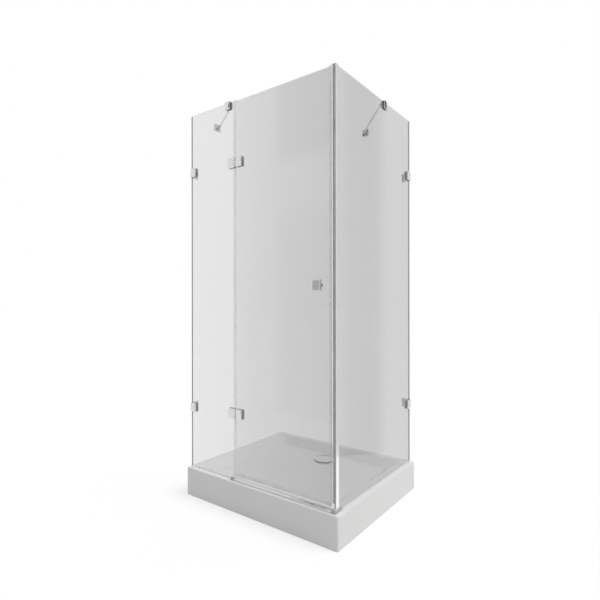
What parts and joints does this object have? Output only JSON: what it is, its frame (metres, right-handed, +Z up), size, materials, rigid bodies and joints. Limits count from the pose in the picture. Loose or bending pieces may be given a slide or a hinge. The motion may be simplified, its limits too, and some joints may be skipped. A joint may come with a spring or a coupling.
{
  "type": "shower enclosure",
  "caption": "Corner shower enclosure with a raised tray, a fixed glass panel, a hinged glass door with a square knob, a side panel and stabiliser bars.",
  "frame": {"origin": "on the floor under the middle of the tray's footprint", "axes": "+Z up, +X to the right along the door face, -Y outward through the door; one wall at the low X end, the other at the high Y end"},
  "size_m": [1, 0.8, 2.115],
  "materials": {
    "tray_acrylic": "glossy white sanitary acrylic",
    "board_wood": "raw particle board",
    "moulded_black": "moulded black nylon",
    "moulded_grey": "moulded grey polypropylene",
    "acetal_white": "natural acetal",
    "seal_rubber": "black sealing rubber",
    "gasket_clear": "translucent grey gasket sheet",
    "glass_clear": "clear toughened glass",
    "polished_chrome": "polished chrome",
    "waste_chrome": "polished chrome cover",
    "plain_steel": "bright stainless steel",
    "seal_vinyl": "clear sealing vinyl",
    "magnet_white": "white flexible magnet strip",
    "threshold_aluminium": "bright anodised aluminium",
    "cap_grey": "moulded grey end cap"
  },
  "bodies": {
    "enclosure": {"tray_rim": "tray_acrylic", "tray_floor": "tray_acrylic", "tray_skirt": "tray_acrylic", "tray_board": "board_wood", "foot_sockets": "moulded_black", "foot_lock_nuts": "plain_steel", "waste_flange": "plain_steel", "hinge_pins": "plain_steel", "panel_screws": "plain_steel", "stabiliser_screws": "plain_steel", "trap_body": "moulded_grey", "outlet_nut": "moulded_grey", "waste_gaskets": "seal_rubber", "outlet_ring": "seal_rubber", "stabiliser_pads": "seal_rubber", "fixed_panel": "glass_clear", "side_panel": "glass_clear", "hinge_fixed_leaves": "polished_chrome", "hinge_fixed_backs": "polished_chrome", "wall_bracket_left_lower": "polished_chrome", "wall_bracket_left_upper": "polished_chrome", "wall_bracket_back_lower": "polished_chrome", "wall_bracket_back_upper": "polished_chrome", "wall_clamp_plates": "polished_chrome", "stabiliser_left_clamp": "polished_chrome", "stabiliser_left_bar": "polished_chrome", "stabiliser_left_flange": "polished_chrome", "stabiliser_right_clamp": "polished_chrome", "stabiliser_right_bar": "polished_chrome", "stabiliser_right_flange": "polished_chrome", "stabiliser_ends": "polished_chrome", "hinge_washers": "acetal_white", "panel_bushes": "acetal_white", "panel_gaskets": "gasket_clear", "hinge_seal": "seal_vinyl", "side_seal": "seal_vinyl", "side_magnet": "magnet_white", "threshold": "threshold_aluminium", "threshold_caps": "cap_grey"},
    "door": {"door_panel": "glass_clear", "hinge_door_leaves": "polished_chrome", "hinge_door_backs": "polished_chrome", "door_gaskets": "gasket_clear", "door_screws": "plain_steel", "door_bushes": "acetal_white", "knob": "polished_chrome", "knob_back_cap": "polished_chrome", "knob_washers": "acetal_white", "knob_stud": "plain_steel", "door_seal": "seal_vinyl", "door_magnet": "magnet_white", "door_sweep": "seal_vinyl"},
    "trap_cup": {"trap_cup": "moulded_grey"},
    "waste_cover": {"waste_cover": "waste_chrome"},
    "foot_front_left": {"tray_foot_front_left": "moulded_black"},
    "foot_front_right": {"tray_foot_front_right": "moulded_black"},
    "foot_back_left": {"tray_foot_back_left": "moulded_black"},
    "foot_back_right": {"tray_foot_back_right": "moulded_black"},
    "foot_middle": {"tray_foot_middle": "moulded_black"}
  },
  "joints": [
    {"name": "door_hinge", "type": "hinge", "parent": "enclosure", "child": "door", "pos_m": [-0.143, -0.384, 1.136], "axis": [0, 0, -1], "range_deg": [0, 110]},
    {"name": "trap_cup_lift", "type": "slide", "parent": "enclosure", "child": "trap_cup", "axis": [0, 0, 1], "range_m": [0, 0.09]},
    {"name": "waste_cover_lift", "type": "slide", "parent": "trap_cup", "child": "waste_cover", "axis": [0, 0, 1], "range_m": [0, 0.05]},
    {"name": "foot_front_left_height", "type": "slide", "parent": "enclosure", "child": "foot_front_left", "axis": [0, 0, -1], "range_m": [0, 0.015]},
    {"name": "foot_front_right_height", "type": "slide", "parent": "enclosure", "child": "foot_front_right", "axis": [0, 0, -1], "range_m": [0, 0.015]},
    {"name": "foot_back_left_height", "type": "slide", "parent": "enclosure", "child": "foot_back_left", "axis": [0, 0, -1], "range_m": [0, 0.015]},
    {"name": "foot_back_right_height", "type": "slide", "parent": "enclosure", "child": "foot_back_right", "axis": [0, 0, -1], "range_m": [0, 0.015]},
    {"name": "foot_middle_height", "type": "slide", "parent": "enclosure", "child": "foot_middle", "axis": [0, 0, -1], "range_m": [0, 0.015]}
  ]
}
